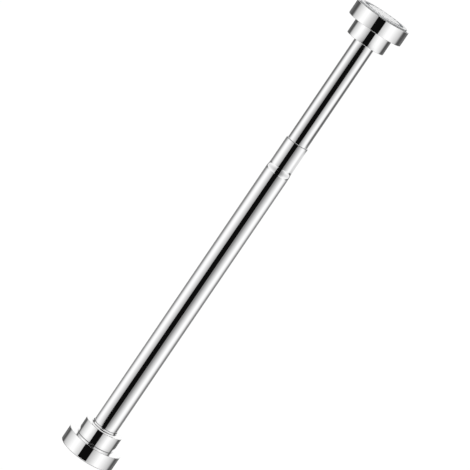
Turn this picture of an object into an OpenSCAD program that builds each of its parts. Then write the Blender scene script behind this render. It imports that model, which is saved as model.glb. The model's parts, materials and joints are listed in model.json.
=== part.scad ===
// Telescopic closet rod: a chromed tension rod of two tubes, held between two walls.
// Frame: the rod lies along +X and +Z is up. The origin is the centre of the outer
// foot's wall face. Round pieces are drawn on +Z and turned onto the rod by a place module.

/* [Outer tube] */
// Outside diameter of the outer tube
outer_od = 25; // [24.2:0.1:31]
// Wall of the outer tube
outer_wall = 1; // [0.7:0.05:1.3]
// Length of the outer tube, neck included
outer_len = 356; // [340:1:420]
// Length of the narrowed neck that guides the inner tube
neck_len = 29; // [15:0.5:36]
// Wall of the neck, thickened as it is drawn in
neck_wall = 1.1; // [0.9:0.05:1.25]
// Length of the shoulder between the full tube and its neck
shoulder_len = 4.8; // [3:0.1:10]

/* [Inner tube] */
// Outside diameter of the inner tube
inner_od = 21.3; // [20.4:0.1:22]
// Wall of the inner tube
inner_wall = 0.9; // [0.7:0.05:1]
// Length of the inner tube
inner_len = 304.4; // [294:0.1:308]
// Length of inner tube that shows between the neck and the inner foot at rest
shown_len = 113.8; // [112:0.1:125]
// Depth of the rolled grooves that hold the plugs in the inner tube
crimp_depth = 0.7; // [0.4:0.05:0.9]
// Half of the length of a rolled groove
crimp_half = 1.6; // [1.2:0.1:2.5]

/* [Foot] */
// Diameter of the disc that stands against the wall
disc_d = 57.4; // [54:0.1:80]
// Height of the disc's plated side
disc_h = 15.7; // [13:0.1:20]
// Diameter of the collar that the tube goes into
collar_d = 40; // [36:0.1:44]
// Height of the collar above the disc
collar_h = 16; // [12:0.1:24]
// Wall of the plated cover
cover_wall = 1.8; // [1.2:0.1:2.2]
// Radius of the cover's rolled edge at the wall
rim_edge = 0.9; // [0.3:0.1:1]
// Radius of the front edges of the cover's disc and collar
step_edge = 0.3; // [0.1:0.05:0.8]
// Width of the cover's flat rim around the grip pad
rim_w = 2.8; // [2:0.1:4]
// Thickness of the cover's rolled rim
rim_t = 1.2; // [0.8:0.1:1.5]
// Thickness of the core's plate behind the pad
plate_t = 3; // [2:0.1:4]
// Thickness of the core's web that the swivel screw goes through
web_t = 3; // [2:0.1:4]
// Number of ribs round the core's hub
core_ribs = 6; // [3:1:12]
// Thickness of a core rib
core_rib_t = 2; // [1:0.1:3]

/* [Grip pad] */
// How far the pad stands out of the cover's rim
pad_proud = 1; // [0.5:0.1:2]
// Width of the pad's outer land
pad_land_w = 2.9; // [2:0.1:4]
// Radius of the pad's middle land
pad_centre_r = 16.6; // [12:0.1:17]
// Depth of the channel between the two lands
pad_channel_depth = 0.7; // [0.3:0.1:1]
// Number of grip bars in the channel
grip_bars = 24; // [12:1:32]
// Width of a grip bar
grip_bar_w = 1.7; // [1:0.1:2.2]
// Radial length of a grip bar
grip_bar_len = 3; // [2:0.1:3.4]

/* [Entry ring and reducing bush] */
// Width of the entry ring's flared lip beyond the tube
lip_w = 0.9; // [0.8:0.1:1.6]
// Height of the flared lip above the collar
lip_h = 2; // [1.4:0.1:3]
// Radius of the lip's rounded top
lip_edge = 0.3; // [0.2:0.05:0.55]
// Depth of the funnel between the lip and the tube
funnel_depth = 1.6; // [0.6:0.1:2]
// Wall of the entry ring where it sits in the collar
ring_wall = 0.95; // [0.8:0.05:1.2]
// Width and depth of the countersink round the collar's mouth
mouth_sink = 0.8; // [0.6:0.1:1.6]

/* [Swivel] */
// Diameter of the swivel screw's shoulder
screw_shank_d = 5; // [4.8:0.1:6]
// Diameter of the swivel screw's thread
screw_thread_d = 4.4; // [3:0.1:4.8]
// Length of the swivel screw's thread
screw_thread_len = 12; // [8:0.5:13]
// Diameter of the swivel screw's head
screw_head_d = 9.2; // [8:0.1:12]
// Height of the swivel screw's head
screw_head_h = 2.4; // [1.8:0.1:2.6]
// How far the thrust washer's edge lies inside the inner tube's outside
washer_inset = 0.45; // [0.3:0.05:3]
// Thickness of the thrust washer
washer_t = 1.2; // [0.8:0.1:2]
// Thickness of an end plug's flange
plug_flange_t = 2; // [1:0.1:3]
// Length of an end plug inside its tube
plug_len = 14; // [13.5:0.5:16]

/* [Twist lock] */
// Length of the expander sleeve
sleeve_len = 34; // [30:0.5:36]
// Length of each tapered seat in the sleeve
taper_len = 10; // [8:0.5:12]
// Wall of the sleeve at its mouth
sleeve_mouth_wall = 1.8; // [1.4:0.1:2.4]
// How much a taper's radius falls from its wide end to its narrow end
taper_fall = 2.6; // [1.5:0.1:3]
// Width of a slot in the sleeve
slot_w = 1.8; // [1:0.1:3]
// Length of a slot in the sleeve
slot_len = 24; // [18:0.5:26]
// Diameter of the spindle's thread
spindle_d = 8; // [6:0.1:9]
// Advance of the wedge nut in one turn
spindle_pitch = 2; // [1:0.1:2.4]
// Turns from locked to free
unlock_turns = 1; // [0.5:0.25:1]
// Width across the flats of the spindle's hexagon
hex_af = 10; // [9.6:0.1:11]
// Clearance round the spindle's flange and the nut's keys in the outer tube
flange_clear = 0.6; // [0.3:0.05:0.9]
// Thickness of the spindle's flange
spindle_flange_t = 3.5; // [2:0.1:5]
// Length of the wedge nut behind its taper
wedge_body_len = 8; // [6:0.5:9]
// Clearance round the wedge nut's body in the outer tube
wedge_clear = 1.1; // [0.9:0.1:1.3]
// Width of a retaining clip's ring
clip_w = 2.3; // [1.5:0.1:2.6]
// Thickness of a retaining clip
clip_t = 1; // [0.6:0.1:1.5]
// Width of the gap in a retaining clip
clip_gap = 4.5; // [3:0.1:6]
// Length of spindle beyond a clip
spindle_tip = 1.7; // [0.5:0.1:2]

/* [Spring] */
// Travel of the spring when the rod is pressed between two walls
spring_travel = 25; // [15:1:26]
// Length of the spring at rest
spring_len = 78; // [66:1:90]
// Clearance round the spring in the inner tube
spring_clear = 0.95; // [0.8:0.05:1.1]
// Diameter of the spring wire
wire_d = 1.8; // [1:0.1:1.8]
// Number of turns of the spring
spring_turns = 13; // [8:1:16]
// Gap between the closed turns at each end of the spring
end_turn_gap = 0.5; // [0.45:0.05:1]
// Thickness of the spring's seat washer
seat_t = 1.5; // [1:0.1:2]
// Length of the plug that the spring pushes on
stop_len = 12; // [8:0.5:16]
// Length of the guide plug inside the inner tube
guide_len = 22; // [16:0.5:26]
// Thickness of the guide plug's flange
guide_flange_t = 3; // [2:0.1:5]

/* [Fits] */
// Clearance of a sliding fit, on the radius
slide_fit = 0.1; // [0.05:0.01:0.1]
// Clearance of a turning fit, on the radius
turn_fit = 0.06; // [0.03:0.01:0.1]
// Clearance of a pressed or glued seat, on the radius
seat_fit = 0.05; // [0.02:0.01:0.1]
// Free gap between pieces that pass or face each other without touching
free_gap = 0.3; // [0.2:0.05:0.5]

/* [Hidden] */

round_fn = 96;
hex_sides = 6;
arc_steps = 4;
shoulder_steps = 8;

// Radii of the tubes
outer_r = outer_od / 2;
outer_bore_r = outer_r - outer_wall;
inner_r = inner_od / 2;
inner_bore_r = inner_r - inner_wall;
neck_bore_r = inner_r + slide_fit;
neck_r = neck_bore_r + neck_wall;
neck_edge = 0.35;

// Heights in a foot, counted from the wall
disc_r = disc_d / 2;
collar_r = collar_d / 2;
disc_top = pad_proud + disc_h;
foot_h = disc_top + collar_h;
core_front = pad_proud + rim_t;
plate_back = core_front + plate_t;
head_clear = 0.8;
web_front = core_front + head_clear + screw_head_h;
web_back = web_front + web_t;
plug_front = web_back + washer_t;
tube_seat = plug_front + plug_flange_t;

// Radii in a foot
pad_hole_r = disc_r - rim_w;
pad_r = pad_hole_r - seat_fit;
cover_bore_r = disc_r - cover_wall;
collar_bore_r = collar_r - cover_wall;
socket_r = outer_r + turn_fit;
ring_seat_r = socket_r + ring_wall;
mouth_r = ring_seat_r + seat_fit;
hub_r = collar_bore_r - seat_fit;
hub_top = foot_h - cover_wall - seat_fit;
ring_waist_w = 0.45;

// Stations along the rod
neck_end = tube_seat + outer_len;
shoulder_start = neck_end - neck_len - shoulder_len;
rod_len = neck_end + shown_len + foot_h;
inner_start = rod_len - tube_seat - inner_len;
guide_front = inner_start - guide_flange_t;
hex_margin = 2;
flange_back = guide_front - spring_travel - hex_margin;
flange_front = flange_back - spindle_flange_t;
sleeve_back = flange_front - free_gap;
sleeve_front = sleeve_back - sleeve_len;
wedge_gap = 1;
wedge_back = sleeve_front - wedge_gap;
wedge_front = wedge_back - wedge_body_len;
unlock_travel = spindle_pitch * unlock_turns;
stop_clip_gap = 0.6;
stop_clip_back = wedge_front - unlock_travel - stop_clip_gap;
spindle_front = stop_clip_back - clip_t - spindle_tip;
guide_back = inner_start + guide_len;
seat_front = guide_back + free_gap;
spring_front = seat_front + seat_t;
spindle_back = spring_front + clip_t + spindle_tip;
stop_front = spring_front + spring_len;
stop_back = stop_front + stop_len;
guide_crimp = inner_start + guide_len / 2;
stop_crimp = stop_front + stop_len / 2;

// Radii in the twist lock
sleeve_r = outer_bore_r - slide_fit;
taper_wide_r = sleeve_r - sleeve_mouth_wall;
taper_narrow_r = taper_wide_r - taper_fall;
taper_slope = taper_fall / taper_len;
spindle_flange_r = outer_bore_r - flange_clear;
wedge_key_r = outer_bore_r - flange_clear;
wedge_body_r = outer_bore_r - wedge_clear;
clip_r = spindle_d / 2 + clip_w;
spindle_r = spindle_d / 2;
hex_r = hex_af / 2 / cos(30);
washer_hole_r = screw_shank_d / 2 + 2 * slide_fit;
web_hole_r = screw_shank_d / 2 + slide_fit;
head_pocket_r = screw_head_d / 2 + 2 * free_gap;
drive_slot_w = 1.1;
drive_slot_depth = 1.3;
drive_slot_share = 0.7;
seat_clear = 0.45;
stop_hole_r = 3;

// Spring centre line
coil_r = inner_bore_r - spring_clear - wire_d / 2;
coil_start = spring_front + wire_d / 2 + seat_fit;
coil_end = stop_front - wire_d / 2 - seat_fit;
end_pitch = wire_d + end_turn_gap;
coil_pitch = (coil_end - coil_start - 2 * end_pitch) / (spring_turns - 2);
coil_rings = 10;
wire_sides = 6;

// Points of an arc about a centre, from one angle to another
function arc(centre, r, from, to) =
  [for (i = [0 : arc_steps])
    let (a = from + (to - from) * i / arc_steps)
    centre + r * [cos(a), sin(a)]];

// Points of a smooth step in radius along the rod
function smooth_step(z0, z1, r0, r1) =
  [for (i = [0 : shoulder_steps])
    let (t = i / shoulder_steps)
    [r0 + (r1 - r0) * (1 - cos(180 * t)) / 2, z0 + (z1 - z0) * t]];

// Points of a rolled groove in a wall of radius r
function groove(z, r, depth) =
  [for (i = [0 : shoulder_steps])
    let (t = i / shoulder_steps)
    [r - depth * (1 - cos(360 * t)) / 2, z - crimp_half + 2 * crimp_half * t]];

function flip(points) = [for (i = [len(points) - 1 : -1 : 0]) points[i]];

// Height of the spring's centre line after a number of turns
function coil_z(turn) =
  coil_start
  + end_pitch * min(turn, 1)
  + coil_pitch * max(0, min(turn, spring_turns - 1) - 1)
  + end_pitch * max(0, turn - (spring_turns - 1));

function coil_centre(i) =
  let (turn = i / coil_rings)
  [coil_r * cos(360 * turn), coil_r * sin(360 * turn), coil_z(turn)];

function coil_point(i, j) =
  let (
    around = 360 * i / coil_rings,
    across = 360 * j / wire_sides,
    reach = coil_r + wire_d / 2 * cos(across)
  )
  [reach * cos(around), reach * sin(around), coil_centre(i)[2] + wire_d / 2 * sin(across)];

// Turns a piece drawn on +Z onto the rod, counted from the outer foot's wall
module along_rod() rotate([0, 90, 0]) children();

// The same for a piece of the inner foot, counted from the far wall
module from_far_wall() translate([rod_len, 0, 0]) rotate([0, -90, 0]) children();

module lathe(points) rotate_extrude($fn = round_fn) polygon(points);

module ring(r_out, r_in, z0, z1)
  lathe([[r_in, z0], [r_out, z0], [r_out, z1], [r_in, z1]]);

// Stepped plated shell of a foot: disc, collar, rolled rim and countersunk mouth
module flange_cover() {
  e = step_edge;
  lathe(concat(
    [[pad_hole_r, pad_proud]],
    arc([disc_r - rim_edge, pad_proud + rim_edge], rim_edge, -90, 0),
    arc([disc_r - e, disc_top - e], e, 0, 90),
    [[collar_r, disc_top]],
    arc([collar_r - e, foot_h - e], e, 0, 90),
    [
      [mouth_r + mouth_sink, foot_h],
      [mouth_r, foot_h - mouth_sink],
      [mouth_r, foot_h - cover_wall],
      [collar_bore_r, foot_h - cover_wall],
      [collar_bore_r, disc_top - cover_wall],
      [cover_bore_r, disc_top - cover_wall],
      [cover_bore_r, core_front],
      [pad_hole_r, core_front]
    ]
  ));
}

// Moulded core of a foot: plate, screw web, tube socket and ribs
module flange_core() {
  plate_r = cover_bore_r - seat_fit;
  rib_top = disc_top - cover_wall - seat_fit;
  sunk = 0.5;
  lathe([
    [head_pocket_r, core_front],
    [plate_r, core_front],
    [plate_r, plate_back],
    [hub_r, plate_back],
    [hub_r, hub_top],
    [socket_r, hub_top],
    [socket_r, web_back],
    [web_hole_r, web_back],
    [web_hole_r, web_front],
    [head_pocket_r, web_front]
  ]);
  for (i = [0 : core_ribs - 1])
    rotate([0, 0, 360 * i / core_ribs])
      translate([hub_r - sunk, -core_rib_t / 2, plate_back - sunk])
        cube([plate_r - hub_r, core_rib_t, rib_top - plate_back + sunk]);
}

// Silicone pad: outer land, channel with grip bars and middle land
module grip_pad() {
  channel_r = pad_r - pad_land_w;
  channel_mid = (channel_r + pad_centre_r) / 2;
  edge = 0.4;
  lathe([
    [0, 0],
    [pad_centre_r, 0],
    [pad_centre_r, pad_channel_depth],
    [channel_r, pad_channel_depth],
    [channel_r, 0],
    [pad_r - edge, 0],
    [pad_r, edge],
    [pad_r, core_front],
    [0, core_front]
  ]);
  for (i = [0 : grip_bars - 1])
    rotate([0, 0, 360 * i / grip_bars])
      translate([channel_mid - grip_bar_len / 2, -grip_bar_w / 2, 0])
        cube([grip_bar_len, grip_bar_w, core_front]);
}

// Ring at the mouth of the outer foot, with a lip that flares away from the tube
module entry_ring() {
  lip_r = outer_r + lip_w;
  waist_r = socket_r + ring_waist_w;
  lip_top = foot_h + lip_h;
  sink_floor = foot_h - mouth_sink;
  lathe(concat(
    [
      [socket_r, hub_top],
      [ring_seat_r, hub_top],
      [ring_seat_r, sink_floor],
      [waist_r, sink_floor + ring_waist_w]
    ],
    arc([lip_r - lip_edge, lip_top - lip_edge], lip_edge, 0, 90),
    [[socket_r, lip_top - funnel_depth]]
  ));
}

// Bush that fits the smaller inner tube into the same foot
module reducing_bush() {
  bore_r = inner_r + turn_fit;
  body_r = socket_r - seat_fit;
  sink_r = mouth_r + mouth_sink - seat_fit;
  lathe([
    [bore_r, tube_seat + free_gap],
    [body_r, tube_seat + free_gap],
    [body_r, hub_top],
    [ring_seat_r, hub_top],
    [ring_seat_r, foot_h - mouth_sink],
    [sink_r, foot_h],
    [bore_r, foot_h]
  ]);
}

module thrust_washer() ring(inner_r - washer_inset, washer_hole_r, web_back, plug_front);

// Shoulder screw: head, cross drive, shoulder in the web and thread in the plug
module swivel_screw() {
  head_r = screw_head_d / 2;
  chamfer = 0.5;
  slot = screw_head_d * drive_slot_share;
  head_front = web_front - screw_head_h;
  difference() {
    lathe([
      [0, head_front],
      [head_r - chamfer, head_front],
      [head_r, head_front + chamfer],
      [head_r, web_front],
      [screw_shank_d / 2, web_front],
      [screw_shank_d / 2, plug_front],
      [screw_thread_d / 2, plug_front],
      [screw_thread_d / 2, plug_front + screw_thread_len],
      [0, plug_front + screw_thread_len]
    ]);
    for (a = [0, 90])
      rotate([0, 0, a])
        translate([-slot / 2, -drive_slot_w / 2, head_front - drive_slot_depth])
          cube([slot, drive_slot_w, 2 * drive_slot_depth]);
  }
}

// Plug pressed into a tube's end, which the swivel screw threads into
module end_plug(tube_r, bore_r) {
  chamfer = 0.8;
  lathe([
    [screw_thread_d / 2 + seat_fit, plug_front],
    [tube_r - seat_fit, plug_front],
    [tube_r - seat_fit, tube_seat],
    [bore_r - seat_fit, tube_seat],
    [bore_r - seat_fit, tube_seat + plug_len - chamfer],
    [bore_r - seat_fit - chamfer, tube_seat + plug_len],
    [screw_thread_d / 2 + seat_fit, tube_seat + plug_len]
  ]);
}

// Clip with a gap, snapped onto the spindle
module retaining_clip(z) {
  difference() {
    ring(clip_r, spindle_r + seat_fit, z, z + clip_t);
    translate([0, -clip_gap / 2, z - clip_t]) cube([clip_r * 2, clip_gap, 3 * clip_t]);
  }
}

// Outer foot
module outer_flange_cover() color("gainsboro") along_rod() flange_cover();
module outer_flange_core() color("dimgray") along_rod() flange_core();
module outer_grip_pad() color("whitesmoke") along_rod() grip_pad();
module outer_entry_ring() color("lightgray") along_rod() entry_ring();
module outer_thrust_washer() color("ivory") along_rod() thrust_washer();

// Outer tube with its swivel screw and plug
module outer_swivel_screw() color("darkgray") along_rod() swivel_screw();
module outer_end_plug() color("dimgray") along_rod() end_plug(outer_r, outer_bore_r);

module outer_tube() {
  shoulder_end = shoulder_start + shoulder_len;
  color("silver")
    along_rod()
      lathe(concat(
        [[outer_bore_r, tube_seat], [outer_r, tube_seat]],
        smooth_step(shoulder_start, shoulder_end, outer_r, neck_r),
        arc([neck_r - neck_edge, neck_end - neck_edge], neck_edge, 0, 90),
        [[neck_bore_r, neck_end]],
        flip(smooth_step(shoulder_start, shoulder_end, outer_bore_r, neck_bore_r))
      ));
}

// Twist lock: slotted sleeve that the two tapers spread against the outer tube
module expander_sleeve() {
  seat = seat_fit;
  color("ivory")
    along_rod()
      difference() {
        lathe([
          [taper_wide_r + seat, sleeve_front],
          [sleeve_r, sleeve_front],
          [sleeve_r, sleeve_back],
          [taper_wide_r + seat, sleeve_back],
          [taper_narrow_r + seat, sleeve_back - taper_len],
          [taper_narrow_r + seat, sleeve_front + taper_len]
        ]);
        translate([-outer_r, -slot_w / 2, sleeve_front - slot_len])
          cube([2 * outer_r, slot_w, 2 * slot_len]);
        translate([-slot_w / 2, -outer_r, sleeve_back - slot_len])
          cube([slot_w, 2 * outer_r, 2 * slot_len]);
      }
}

// Nut with a taper, kept from turning by two keys in the sleeve's slots
module wedge_nut() {
  back_r = taper_wide_r + taper_slope * wedge_gap;
  key_w = slot_w - 2 * slide_fit;
  key_len = taper_len + wedge_gap;
  color("orange")
    along_rod()
      difference() {
        union() {
          lathe([
            [0, wedge_front],
            [wedge_body_r, wedge_front],
            [wedge_body_r, wedge_back],
            [back_r, wedge_back],
            [taper_narrow_r, sleeve_front + taper_len],
            [0, sleeve_front + taper_len]
          ]);
          translate([-wedge_key_r, -key_w / 2, wedge_back - wedge_gap])
            cube([2 * wedge_key_r, key_w, key_len]);
        }
        translate([0, 0, wedge_front - wedge_gap])
          cylinder(
            r = spindle_r + turn_fit,
            h = wedge_body_len + taper_len + 4 * wedge_gap,
            $fn = round_fn
          );
      }
}

// Spindle: threaded end, fixed taper, flange, hexagon and turned-down end
module lock_spindle() {
  color("darkgray")
    along_rod() {
      lathe([
        [0, spindle_front],
        [spindle_r, spindle_front],
        [spindle_r, sleeve_back - taper_len],
        [taper_narrow_r, sleeve_back - taper_len],
        [taper_wide_r, sleeve_back],
        [taper_wide_r, flange_front],
        [spindle_flange_r, flange_front],
        [spindle_flange_r, flange_back],
        [0, flange_back]
      ]);
      translate([0, 0, flange_front])
        cylinder(r = hex_r, h = seat_front - flange_front, $fn = hex_sides);
      translate([0, 0, flange_front])
        cylinder(r = spindle_r, h = spindle_back - flange_front, $fn = round_fn);
    }
}

module wedge_stop_clip() color("slategray") along_rod() retaining_clip(stop_clip_back - clip_t);
module spindle_end_clip() color("slategray") along_rod() retaining_clip(spring_front);

module spring_seat_washer() {
  color("lightsteelblue")
    along_rod()
      ring(inner_bore_r - seat_clear, spindle_r + seat_fit, seat_front, spring_front);
}

// Least gap between one turn of the wire and the next, measured on the centre line
wire_gap = min([
  for (i = [0 : coil_rings * (spring_turns - 1)])
    norm(coil_centre(i + coil_rings) - coil_centre(i)) - wire_d
]);

// Compression spring with closed end turns, one unbroken wire
module compression_spring() {
  last = coil_rings * spring_turns;
  points = [for (i = [0 : last]) for (j = [0 : wire_sides - 1]) coil_point(i, j)];
  sides = [
    for (i = [0 : last - 1])
      for (j = [0 : wire_sides - 1])
        let (k = (j + 1) % wire_sides, a = i * wire_sides, b = a + wire_sides)
        each [[a + j, b + j, b + k], [a + j, b + k, a + k]]
  ];
  first_end = [for (j = [1 : wire_sides - 2]) [0, j, j + 1]];
  end = last * wire_sides;
  far_end = [for (j = [1 : wire_sides - 2]) [end, end + j + 1, end + j]];
  echo(least_gap_between_turns = wire_gap);
  color("lightslategray")
    along_rod() polyhedron(points = points, faces = concat(sides, first_end, far_end));
}

// Guide plug in the inner tube's end: runs in the outer tube and slides on the hexagon
module guide_plug() {
  body_r = inner_bore_r - seat_fit;
  color("ivory")
    along_rod()
      difference() {
        lathe(concat(
          [
            [0, guide_front],
            [outer_bore_r - slide_fit, guide_front],
            [outer_bore_r - slide_fit, inner_start],
            [body_r, inner_start]
          ],
          groove(guide_crimp, body_r, crimp_depth),
          [[body_r, guide_back], [0, guide_back]]
        ));
        translate([0, 0, guide_front - guide_flange_t])
          cylinder(
            r = hex_r + slide_fit,
            h = guide_len + 3 * guide_flange_t,
            $fn = hex_sides
          );
      }
}

// Plug crimped into the inner tube, which the spring pushes on
module spring_stop_plug() {
  body_r = inner_bore_r - seat_fit;
  color("ivory")
    along_rod()
      lathe(concat(
        [[stop_hole_r, stop_front], [body_r, stop_front]],
        groove(stop_crimp, body_r, crimp_depth),
        [[body_r, stop_back], [stop_hole_r, stop_back]]
      ));
}

module inner_tube() {
  color("silver")
    along_rod()
      lathe(concat(
        [[inner_bore_r, inner_start], [inner_r, inner_start]],
        groove(guide_crimp, inner_r, crimp_depth),
        groove(stop_crimp, inner_r, crimp_depth),
        [[inner_r, rod_len - tube_seat], [inner_bore_r, rod_len - tube_seat]],
        flip(groove(stop_crimp, inner_bore_r, crimp_depth)),
        flip(groove(guide_crimp, inner_bore_r, crimp_depth))
      ));
}

module inner_end_plug() color("dimgray") from_far_wall() end_plug(inner_r, inner_bore_r);
module inner_swivel_screw() color("darkgray") from_far_wall() swivel_screw();

// Inner foot
module inner_thrust_washer() color("ivory") from_far_wall() thrust_washer();
module inner_reducing_bush() color("lightgray") from_far_wall() reducing_bush();
module inner_grip_pad() color("whitesmoke") from_far_wall() grip_pad();
module inner_flange_core() color("dimgray") from_far_wall() flange_core();
module inner_flange_cover() color("gainsboro") from_far_wall() flange_cover();

outer_flange_cover();
outer_flange_core();
outer_grip_pad();
outer_entry_ring();
outer_thrust_washer();
outer_swivel_screw();
outer_end_plug();
outer_tube();
expander_sleeve();
wedge_nut();
lock_spindle();
wedge_stop_clip();
spring_seat_washer();
spindle_end_clip();
compression_spring();
guide_plug();
spring_stop_plug();
inner_tube();
inner_end_plug();
inner_swivel_screw();
inner_thrust_washer();
inner_reducing_bush();
inner_grip_pad();
inner_flange_core();
inner_flange_cover();
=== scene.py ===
"""Looks of a telescopic closet rod: chromed tubes and feet, silicone pads, parts inside.

The rod lies along +X with the outer foot's wall face at the origin. Turned pieces are built
as closed shells round X, with exact normals, because chrome shows every fault in shading.
"""

import json
import logging
import math
from dataclasses import dataclass
from enum import Enum
from functools import cache
from typing import Any, Callable, ClassVar, Optional, Sequence, Union

import bpy
from bpy.types import Material, Mesh, Node, NodeSocket, NodeTree, Object
from mathutils import Matrix, Vector

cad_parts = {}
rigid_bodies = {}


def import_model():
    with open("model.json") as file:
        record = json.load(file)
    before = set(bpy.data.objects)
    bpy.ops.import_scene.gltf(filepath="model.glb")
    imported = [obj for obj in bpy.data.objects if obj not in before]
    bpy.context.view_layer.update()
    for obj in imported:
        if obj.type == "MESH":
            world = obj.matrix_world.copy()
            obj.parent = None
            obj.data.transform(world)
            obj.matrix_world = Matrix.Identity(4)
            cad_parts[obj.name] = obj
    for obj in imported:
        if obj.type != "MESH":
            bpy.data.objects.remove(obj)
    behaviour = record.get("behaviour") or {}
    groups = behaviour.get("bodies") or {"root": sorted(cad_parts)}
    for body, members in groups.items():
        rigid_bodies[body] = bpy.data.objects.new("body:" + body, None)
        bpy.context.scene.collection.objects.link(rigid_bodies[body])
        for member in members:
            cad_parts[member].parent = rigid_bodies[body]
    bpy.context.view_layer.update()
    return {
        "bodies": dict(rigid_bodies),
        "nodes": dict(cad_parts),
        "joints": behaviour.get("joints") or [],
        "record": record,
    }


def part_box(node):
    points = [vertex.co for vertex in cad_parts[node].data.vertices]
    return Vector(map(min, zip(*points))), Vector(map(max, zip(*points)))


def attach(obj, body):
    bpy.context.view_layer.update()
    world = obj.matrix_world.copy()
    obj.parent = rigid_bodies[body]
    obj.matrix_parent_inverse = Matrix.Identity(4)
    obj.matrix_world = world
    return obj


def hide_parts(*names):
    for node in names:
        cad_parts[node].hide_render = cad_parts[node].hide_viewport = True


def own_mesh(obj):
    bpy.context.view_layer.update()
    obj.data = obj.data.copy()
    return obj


LOG = logging.getLogger("closet_rod")

MM = 0.001
ROUND_SEGMENTS = 144
ARC_STEPS = 6
STRAIGHT = 1e-6
SIDE_SHARE = 0.49
NOISE_MIDDLE = 0.5
FLAG_SOFT = 1.0
FLAG_LEVEL = 0.004
EDGE_BREAK = 0.05 * MM
PATCH_SOFT = 0.05 * MM
MIX_COLOUR_A = 6
MIX_COLOUR_B = 7
MIX_COLOUR_RESULT = 2

Key = Union[str, int]
Fade = tuple[float, float]
Triple = tuple[float, float, float]
Link = Union[float, Sequence[float], "Signal"]
Inputs = dict[Key, Link]


class Body(Enum):
    """Bodies of the rod that new pieces ride on."""

    OUTER_FOOT = "outer_foot"
    OUTER_ROD = "outer_rod"
    SPINDLE = "spindle"
    INNER_ROD = "inner_rod"
    INNER_FOOT = "inner_foot"


class Slot(Enum):
    """Names of the record's material slots."""

    CHROME = "chrome"
    SILICONE = "silicone"
    BUSH = "bush_grey"
    SPRING_STEEL = "spring_steel"


def into_scene(name: str, data: Any) -> Object:
    """Makes an object of its data and links it to the scene.

    Args:
        name: The object's name.
        data: Its mesh, camera or light.

    Returns:
        The object, at the origin.
    """
    made = bpy.data.objects.new(name, data)
    bpy.context.scene.collection.objects.link(made)
    return made


def settle(piece: Object) -> None:
    """Turns a piece's modifiers into a plain mesh.

    Args:
        piece: The piece, which has no modifier afterwards.
    """
    shaped = piece.evaluated_get(bpy.context.evaluated_depsgraph_get())
    mesh = bpy.data.meshes.new_from_object(shaped)
    piece.modifiers.clear()
    piece.data = mesh
    mesh.name = piece.name


def smooth(mesh: Mesh, sharp_from: Optional[float] = None) -> None:
    """Shades a mesh smooth, apart from sharp edges.

    Args:
        mesh: The mesh.
        sharp_from: Degrees between two faces from which their edge is sharp.
    """
    mesh.polygons.foreach_set("use_smooth", [True] * len(mesh.polygons))
    if sharp_from is not None:
        mesh.set_sharp_from_angle(angle=math.radians(sharp_from))


class Graph:
    """A node tree under construction, for materials, the world and geometry."""

    def __init__(self, tree: NodeTree) -> None:
        """Keeps a tree and removes its present nodes."""
        self.tree = tree
        tree.nodes.clear()

    @classmethod
    def of(cls, owner: Any) -> "Graph":
        """Turns on the nodes of a material or a world and starts from none."""
        owner.use_nodes = True
        return cls(owner.node_tree)

    def node(self, kind: str, inputs: Optional[Inputs] = None, **settings: Any) -> Node:
        """Makes one node.

        Args:
            kind: The node's Blender type name.
            inputs: Socket names or positions, with a value or a link for each.
            **settings: Properties, set before the sockets.

        Returns:
            The new node.
        """
        made = self.tree.nodes.new(kind)
        for name, value in settings.items():
            setattr(made, name, value)
        for name, value in (inputs or {}).items():
            self.feed(made.inputs[name], value)
        return made

    def feed(self, socket: NodeSocket, value: Link) -> None:
        """Links a signal to an input socket, or sets it to a plain value.

        Args:
            socket: The socket to feed.
            value: A signal, a number or a vector.
        """
        if isinstance(value, Signal):
            self.tree.links.new(value.socket, socket)
        else:
            socket.default_value = value

    def signal(self, node: Node, output: Key) -> "Signal":
        """Wraps a node's output so that it can be used in an expression."""
        return Signal(self, node.outputs[output])

    def result(
        self, kind: str, output: Key = 0, inputs: Optional[Inputs] = None, **settings: Any
    ) -> "Signal":
        """Makes one node and wraps the output that is asked for."""
        return self.signal(self.node(kind, inputs, **settings), output)

    def math(self, operation: str, *values: Link) -> "Signal":
        """Adds a Math node on the values, in their order."""
        inputs = dict(enumerate(values))
        return self.result("ShaderNodeMath", 0, inputs, operation=operation)


def operator(operation: str, reflected: bool = False) -> Callable[..., "Signal"]:
    """Makes a method of Signal that adds a Math node.

    Args:
        operation: The node's operation.
        reflected: Whether the signal itself is the last input, not the first.

    Returns:
        The method, which takes the other inputs.
    """

    def method(signal: "Signal", *others: Link) -> "Signal":
        """Adds the node."""
        values = (*others, signal) if reflected else (signal, *others)
        return signal.graph.math(operation, *values)

    return method


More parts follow.
